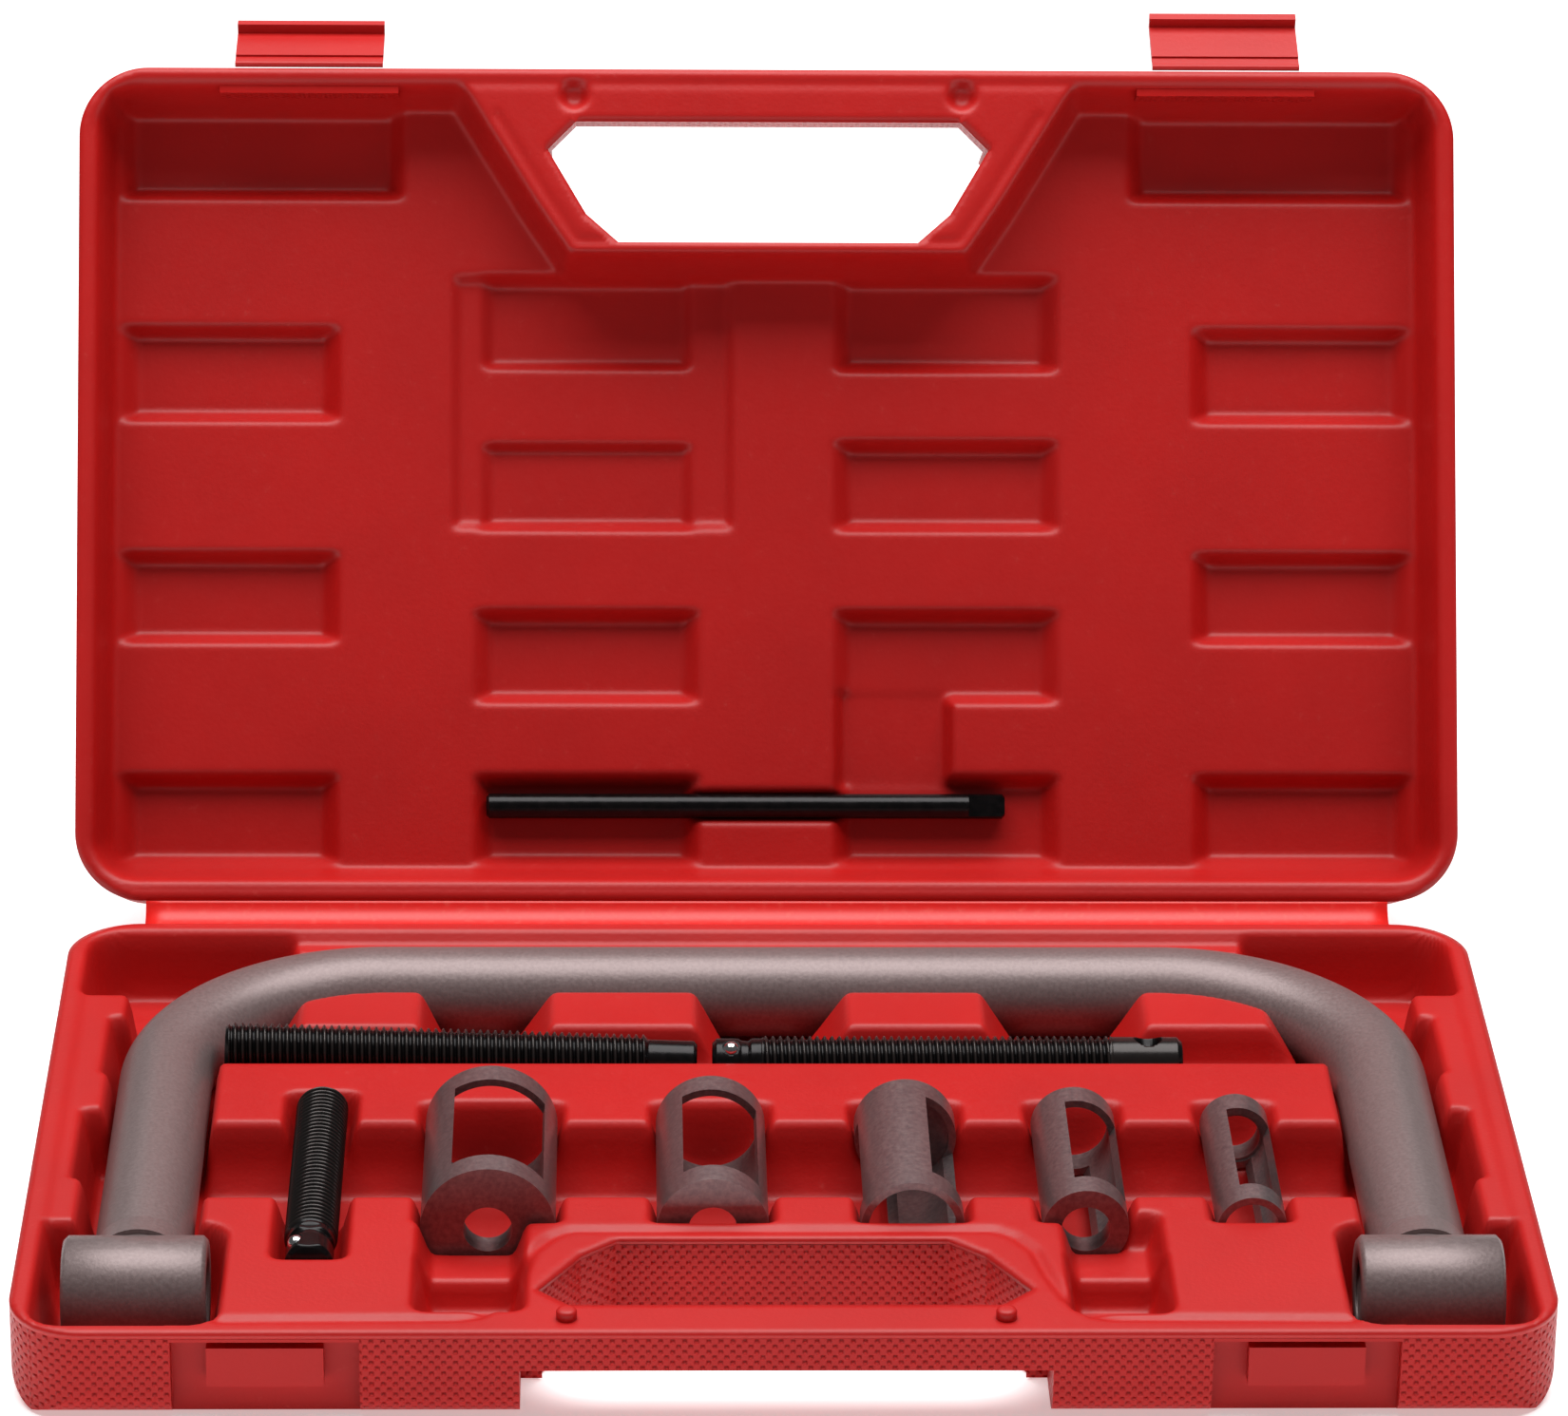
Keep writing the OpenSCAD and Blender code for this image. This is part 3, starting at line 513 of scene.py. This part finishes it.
# the lid's tray
lidInfo = {
    "panel": 18.5, "pocket": 24.2,   # the bar just clears the pockets' floor
    "cols": [(17.5, 72), (107, 160.2)],
    "innerRows": [(10.1, 31.2), (50.6, 72.3), (93.6, 114.8), (133.5, 156.2)],
    "outerRows": [(10.1, 31.2), (65.4, 86.7), (120.8, 143.1)],
    "corner": (91.2, 160.4, 176.5, 198.2),
    "shallow": (-77.9, -8.7, 93.6, 156.2, 21.0),
    "finger": (17.5, 45.7, 28.2, 53.6, 24.5),
    "groove": (-20.5, 20.5, 21.0, 27.6, 23.7),
    "surround": [(76, 201.8), (58, 172.8), (49, 159.6)],
    "socket": (48.0, 199.3, 3.0),
    "rimBead": (3.4, 0.7),    # how far in from the edge it runs, and its depth
    "surroundBead": (3.6, 0.8),
}


def lidDepth(x, t):
    info = lidInfo
    ax = np.abs(x)
    edge = halfW - 5.2
    field = dish(boxDistance(x, t, -edge, edge, 5.8, caseD - 5, 10), info["panel"], 2.4)

    def pocket(px, x0, x1, t0, t1, deep, side):
        # the long ends of a pocket slope, its other two walls stand steeper
        slope = np.minimum((px - x0) / side, (x1 - px) / side)
        steep = np.minimum((t - t0) / 1.6, (t1 - t) / 1.6)
        share = np.clip(np.minimum(slope, steep) + 0.25, 0, 1)
        return np.where(share > 0, info["panel"] + (deep - info["panel"]) * share, 0)

    for rows, col in ((info["innerRows"], info["cols"][0]), (info["outerRows"], info["cols"][1])):
        for t0, t1 in rows:
            field = np.maximum(field, pocket(ax, col[0], col[1], t0, t1, info["pocket"], 4.5))
    field = np.maximum(field, pocket(ax, *info["corner"], info["pocket"], 4.0))
    for key in ("shallow", "finger", "groove"):
        x0, x1, t0, t1, deep = info[key]
        field = np.maximum(field, pocket(x, x0, x1, t0, t1, deep, 1.6))
    points = info["surround"]
    outline = points + [(-px, pt) for px, pt in reversed(points)]
    island = np.maximum(polygonDistance(x, t, outline), 0) * info["panel"] / 3.2
    field = np.minimum(field, island)
    sx, st, sr = info["socket"]
    socket = np.hypot(ax - sx, t - st) - sr
    # fine bead lines: one round the rim, one beside the surround's edge
    reach, deep = info["rimBead"]
    fromEdge = boxDistance(x, t, -halfW, halfW, 0, caseD, caseInfo["corner"])
    bead = deep * np.clip(1.4 - np.abs(fromEdge + reach) / 0.7, 0, 1)
    inset, deep = info["surroundBead"]
    beside = np.abs(polygonDistance(x, t, outline) + inset)
    beside = deep * np.clip(1.4 - beside / 0.7, 0, 1) * (t < 195)
    field = np.where(field < 1.5, np.maximum(field, np.maximum(bead, beside)), field)
    return np.maximum(field, dish(socket, 3.0, 0.8, 0.4))


lidTray = trayPiece("moulded_lid_tray", lidDepth, lidPlace, redTray, True)
outward(lidTray)
lidTray.data.transform(openTurn)
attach(lidTray, "lid")
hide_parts("lid_tray")
print("lid tray moulded")

# turned pieces: a profile of (along, radius) spun about the X axis
turnInfo = {"sides": 64, "pitch": 1.75, "threadDepth": 1.0}


def spin(name, profile, material, sides=None):
    sides = sides or turnInfo["sides"]
    angle = np.arange(sides) * 2 * math.pi / sides
    along = np.array([p[0] for p in profile], float)
    radius = np.array([p[1] for p in profile], float)
    ring = np.stack([np.repeat(along, sides), np.outer(radius, np.cos(angle)).ravel(),
                     np.outer(radius, np.sin(angle)).ravel()], -1) * mm
    return closeRings(name, ring, len(profile), sides, material)


def closeRings(name, ring, rows, sides, material, loop=False):
    faces = []
    for i in range(rows if loop else rows - 1):
        k = (i + 1) % rows
        for j in range(sides):
            n = (j + 1) % sides
            faces.append((i * sides + j, i * sides + n, k * sides + n, k * sides + j))
    if not loop:
        faces.append(tuple(range(sides))[::-1])
        faces.append(tuple(range((rows - 1) * sides, rows * sides)))
    return outward(makeObject(name, ring, faces, material))


def threadRadius(along, angle, crest):
    # a rolled thread: pointed crests with small flats, rounded roots
    phase = (along / turnInfo["pitch"] - angle / (2 * math.pi)) % 1.0
    climb = np.clip(np.abs(2 * phase - 1) * 1.25 - 0.1, 0, 1)
    return crest - turnInfo["threadDepth"] * (1 - climb)


def screwMesh(name, length, plainAt, material, threadFrom, threadTo, crest=6.0):
    # plainAt gives the turned radius along the screw; inside the threaded span it is the limit
    sides = turnInfo["sides"]
    along = np.linspace(0, length, int(length / (turnInfo["pitch"] / 9)) + 1)
    angle = np.arange(sides) * 2 * math.pi / sides
    a, g = np.meshgrid(along, angle, indexing="ij")
    limit = np.interp(a, [p[0] for p in plainAt], [p[1] for p in plainAt])
    threaded = (a > threadFrom) & (a < threadTo)
    radius = np.where(threaded, np.minimum(threadRadius(a, g, crest), limit), limit)
    ring = np.stack([a, radius * np.cos(g), radius * np.sin(g)], -1).reshape(-1, 3) * mm
    return closeRings(name, ring, len(along), sides, material)


noseInfo = {"radius": 5.4, "length": 11.5, "ballAt": 4.4, "ballHole": 2.05, "grooveAt": 7.6}


def noseProfile():
    n = noseInfo
    groove = [(n["grooveAt"] - 1.5, n["radius"]), (n["grooveAt"] - 0.7, 4.9),
              (n["grooveAt"] + 0.8, 4.75), (n["grooveAt"] + 1.6, n["radius"])]
    return [(0, 4.4), (1.0, n["radius"])] + groove + [(n["length"] - 0.05, n["radius"])]


def ballHole(turn):
    n = noseInfo
    cutter = spin("holeCutter", [(0, n["ballHole"]), (6, n["ballHole"])], blackSteel, 24)
    # stands up from the nose's middle, then turns with the ball
    cutter.matrix_world = (Matrix.Rotation(turn, 4, "X")
                           @ Matrix.Translation((n["ballAt"] * mm, 0, 1.2 * mm))
                           @ Matrix.Rotation(math.radians(-90), 4, "Y"))
    return cutter


longScrew = {"length": 111.0, "drive": 17.0, "slotT": 67.3, "slotDrop": 4.0, "driveLeft": -14.6,
             "fixedRight": -18.3, "lift": 3.7}
slotY = caseD / 2 - longScrew["slotT"]
slotZ = caseInfo["baseHeight"] - longScrew["slotDrop"]

driveEnd = longScrew["length"] - longScrew["drive"]
driveProfile = noseProfile() + [(11.5, 5.4), (12.3, 6.0), (driveEnd, 6.0), (driveEnd + 0.6, 5.75),
                                (longScrew["length"] - 1.2, 5.75), (longScrew["length"], 4.7)]
driveScrew = screwMesh("threaded_drive_screw", longScrew["length"], driveProfile, threadSteel,
                       12.0, driveEnd)
cutWith(driveScrew, ballHole(math.radians(24)))
crossHole = {"radius": 3.5, "reach": 14.0, "fromEnd": 8.0, "turn": -12.0}
crossCutter = spin("crossCutter", [(-crossHole["reach"], crossHole["radius"]),
                                   (crossHole["reach"], crossHole["radius"])], blackSteel, 32)
crossCutter.matrix_world = (Matrix.Translation(((longScrew["length"] - crossHole["fromEnd"]) * mm,
                                                0, 0))
                            @ Matrix.Rotation(math.radians(crossHole["turn"]), 4, "X")
                            @ Matrix.Rotation(math.radians(90), 4, "Y"))
cutWith(driveScrew, crossCutter)
driveScrew.matrix_world = Matrix.Translation((longScrew["driveLeft"] * mm, slotY * mm, slotZ * mm))
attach(driveScrew, "drive_screw_body")
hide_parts("drive_screw")

fixedProfile = [(0, 4.8), (1.2, 6.0), (98.3, 6.0), (99.5, 4.8), (110.2, 4.8), (111.0, 4.0)]
fixedScrew = screwMesh("threaded_fixed_screw", longScrew["length"], fixedProfile, threadSteel,
                       0.2, 98.8)
fixedScrew.matrix_world = (Matrix.Translation((longScrew["fixedRight"] * mm,
                                               slotY * mm, slotZ * mm))
                           @ Matrix.Rotation(math.asin(longScrew["lift"] / longScrew["length"]), 4,
                                             "Y")
                           @ Matrix.Translation((-longScrew["length"] * mm, 0, 0)))
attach(fixedScrew, "fixed_screw_body")
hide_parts("fixed_screw")

shortInfo = {"x": -105.4, "t": 92.6, "length": 77.5, "turn": -42, "flat": 4.9}
shortProfile = noseProfile() + [(11.5, 5.4), (12.3, 6.0), (shortInfo["length"] - 1.2, 6.0),
                                (shortInfo["length"], 4.8)]
shortScrew = screwMesh("threaded_short_screw", shortInfo["length"], shortProfile, threadSteel,
                       12.0, shortInfo["length"] - 0.2)
for vertex in shortScrew.data.vertices:
    # two small flats filed on the nose
    if vertex.co.x < (noseInfo["length"] - 1) * mm:
        vertex.co.z = max(-shortInfo["flat"] * mm, min(shortInfo["flat"] * mm, vertex.co.z))
cutWith(shortScrew, ballHole(math.radians(shortInfo["turn"])))
shortScrew.matrix_world = (Matrix.Translation((
    shortInfo["x"] * mm, (caseD / 2 - shortInfo["t"] - shortInfo["length"]) * mm,
    (caseInfo["baseHeight"] - adapterInfo["drop"]) * mm))
    @ Matrix.Rotation(math.radians(90), 4, "Z"))
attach(shortScrew, "short_screw_body")
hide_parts("short_screw")
print("screws threaded")


# the frame's bosses: chamfered outside, threaded inside
def bossPiece(name, node, side):
    info = tubeInfo
    length, outer, chamfer = info["bossLength"], info["bossRadius"], 1.0
    sides = turnInfo["sides"]
    angle = np.arange(sides) * 2 * math.pi / sides
    inner = np.linspace(0, length, int(length / (turnInfo["pitch"] / 9)) + 1)
    rows = [(a, None) for a in inner]
    rows += [(length, outer - chamfer), (length - chamfer, outer), (chamfer, outer),
             (0, outer - chamfer)]
    points = []
    for a, fixed in rows:
        if fixed is None:
            mouth = max(0.0, 1.2 - min(a, length - a))
            radius = info["bore"] + 1.0 - (threadRadius(np.full(sides, a), angle, 1.0))
            radius = np.maximum(radius, info["bore"] + mouth)
        else:
            radius = np.full(sides, fixed)
        points.append(np.stack([np.full(sides, a), radius * np.cos(angle),
                                radius * np.sin(angle)], -1))
    ring = np.concatenate(points) * mm
    made = closeRings(name, ring, len(rows), sides, frameCoat, loop=True)
    made.matrix_world = Matrix.Translation((
        (side * info["bossX"] - length / 2) * mm,
        (caseD / 2 - info["boss"]) * mm,
        (caseInfo["baseHeight"] - info["drop"]) * mm))
    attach(made, "clamp_frame")
    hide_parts(node)


bossPiece("threaded_boss_left", "boss_left", -1)
bossPiece("threaded_boss_right", "boss_right", 1)
print("bosses made")


# the film hinge, bent between base and lid
filmInfo = {"half": 152.5, "thick": 0.6, "steps": 14, "columns": 60,
            "lidRise": 0.7,           # where it joins the lid, above the rim
            "baseJoin": (0.3, 0.9),   # where it joins the base: in from the wall, below the rim
            "bow": (0.6, 1.0)}        # how far it bows out past the hinge line, and below the rim


def hingeFilm():
    rim = caseInfo["baseHeight"]
    lidEdge = openTurn @ Vector((0, caseD / 2 * mm, (rim + filmInfo["lidRise"]) * mm))
    start = np.array([caseD / 2 - filmInfo["baseJoin"][0], rim - filmInfo["baseJoin"][1]])
    end = np.array([lidEdge.y / mm, lidEdge.z / mm])
    bendPoint = np.array([hingePoint.y / mm + filmInfo["bow"][0], rim - filmInfo["bow"][1]])
    share = np.linspace(0, 1, filmInfo["steps"])[:, None]
    path = (1 - share) ** 2 * start + 2 * share * (1 - share) * bendPoint + share ** 2 * end
    slope = np.gradient(path, axis=0)
    slope /= np.linalg.norm(slope, axis=1)[:, None]
    normal = np.stack([-slope[:, 1], slope[:, 0]], 1) * filmInfo["thick"] / 2
    loop = np.concatenate([path + normal, (path - normal)[::-1]])
    xs = np.linspace(-filmInfo["half"], filmInfo["half"], filmInfo["columns"])
    verts = np.array([[xv, p[0], p[1]] for xv in xs for p in loop]) * mm
    made = closeRings("bent_hinge_film", verts, len(xs), len(loop), filmRed)
    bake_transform(made)
    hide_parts("base_hinge_strip", "lid_hinge_strip")


hingeFilm()
print("hinge film bent")

# the pegs on the grip
pegInfo = {"x": 48.0, "t": 199.3, "sides": 32,
           "profile": [(-1, 2.3), (1.7, 2.3), (2.2, 2.0), (2.4, 1.2)]}
for number, side in enumerate((-1, 1)):
    peg = spin("locating_peg_" + "lr"[number], pegInfo["profile"], redTray, pegInfo["sides"])
    peg.matrix_world = (Matrix.Translation((side * pegInfo["x"] * mm,
                                            (caseD / 2 - pegInfo["t"]) * mm,
                                            caseInfo["baseHeight"] * mm))
                        @ Matrix.Rotation(math.radians(-90), 4, "Y"))
    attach(peg, "base")

# finishes on the pieces whose CAD shape is already right
def finishNode(node, material, bevel=0.0, worn=None):
    piece = nodes[node]
    piece.data.materials.clear()
    piece.data.materials.append(material)
    if bevel:
        edge = piece.modifiers.new("softEdge", "BEVEL")
        edge.width = bevel * mm
        edge.segments = 2
        edge.limit_method = "ANGLE"
        edge.angle_limit = math.radians(40)
        edge.harden_normals = False
        if worn:
            piece.data.materials.append(worn)
            edge.material = 1


finishNode("base_outer_wall", redBaseSide)
finishNode("lid_outer_wall", redLidSide)
for name in ("latch_left", "latch_right"):
    finishNode(name, redTray, 0.35)
for name in nodes:
    if name.split("_")[0] in ("frame", "bend", "leg", "weld"):
        finishNode(name, frameCoat)
for name in adapterInfo["names"]:
    finishNode("adapter_" + name, adapterCoat, 0.42, wornEdge)
finishNode("tommy_bar", blackSteel)
for name in ("drive_screw", "short_screw"):
    finishNode(name + "_ball", ballSteel)
    finishNode(name + "_spring", springSteel)
print("finishes set")

# floor, light and camera
stageInfo = {"floor": "#fbfbfb", "world": 0.1, "topPower": 44.0, "rearPower": 3.0, "boardGlow": 0.4,
             "topSize": (1.9, 1.3), "topAt": (0.0, 0.2, 1.5), "topAim": (0, 0, 0),
             "rearSize": (1.6, 0.7), "rearAt": (0.0, 1.7, 1.25), "rearAim": (0, 0, 0.05)}
floorFinish, floorTree, floorShader, floorSize, _ = newMaterial("matteWhiteBoard")
speck = addNode(floorTree, "ShaderNodeTexNoise", {"Scale": 0.05}, {"Vector": floorSize})
floorRough = addNode(floorTree, "ShaderNodeMapRange", {"To Min": 0.85, "To Max": 0.95},
                     {"Value": speck.outputs[0]})
floorTree.links.new(floorRough.outputs[0], floorShader.inputs["Roughness"])
floorShader.inputs["Base Color"].default_value = tone(stageInfo["floor"])
# a little glow of its own keeps the board pale under the dim surroundings
floorShader.inputs["Emission Color"].default_value = (1, 1, 1, 1)
floorShader.inputs["Emission Strength"].default_value = stageInfo["boardGlow"]
floor = makeObject("studio_floor", [(-4, -3, -0.0004), (4, -3, -0.0004), (4, 6, -0.0004),
                                    (-4, 6, -0.0004)], [(0, 1, 2, 3)], floorFinish, False)

world = bpy.data.worlds.new("softStudio")
bpy.context.scene.world = world
world.use_nodes = True
world.node_tree.nodes["Background"].inputs[0].default_value = (1, 1, 1, 1)
world.node_tree.nodes["Background"].inputs[1].default_value = stageInfo["world"]


def areaLight(name, power, size, place, aim):
    lamp = bpy.data.lights.new(name, "AREA")
    lamp.energy = power
    lamp.shape = "RECTANGLE"
    lamp.size, lamp.size_y = size
    made = bpy.data.objects.new(name, lamp)
    made.location = place
    made.rotation_euler = (Vector(aim) - Vector(place)).to_track_quat("-Z", "Y").to_euler()
    bpy.context.scene.collection.objects.link(made)


areaLight("overheadSoftbox", stageInfo["topPower"], stageInfo["topSize"], stageInfo["topAt"],
          stageInfo["topAim"])
areaLight("rearSoftbox", stageInfo["rearPower"], stageInfo["rearSize"], stageInfo["rearAt"],
          stageInfo["rearAim"])

cameraInfo = {"at": (-0.037125, -1.391144, 0.737755), "right": (0.99969, -0.022, 0.01124),
              "up": (-0.00141, 0.4032, 0.91511), "forward": (0.02466, 0.91485, -0.40305),
              "lens": 155.17}
lens = bpy.data.cameras.new("studioCamera")
lens.lens = cameraInfo["lens"]
lens.sensor_width = 36
lens.clip_start = 0.01
camera = bpy.data.objects.new("studioCamera", lens)
turn = Matrix((cameraInfo["right"], cameraInfo["up"], -Vector(cameraInfo["forward"]))).transposed()
camera.matrix_world = Matrix.Translation(cameraInfo["at"]) @ turn.to_4x4()
bpy.context.scene.collection.objects.link(camera)
bpy.context.scene.camera = camera
bpy.context.scene.view_settings.view_transform = "Standard"
print("stage set")
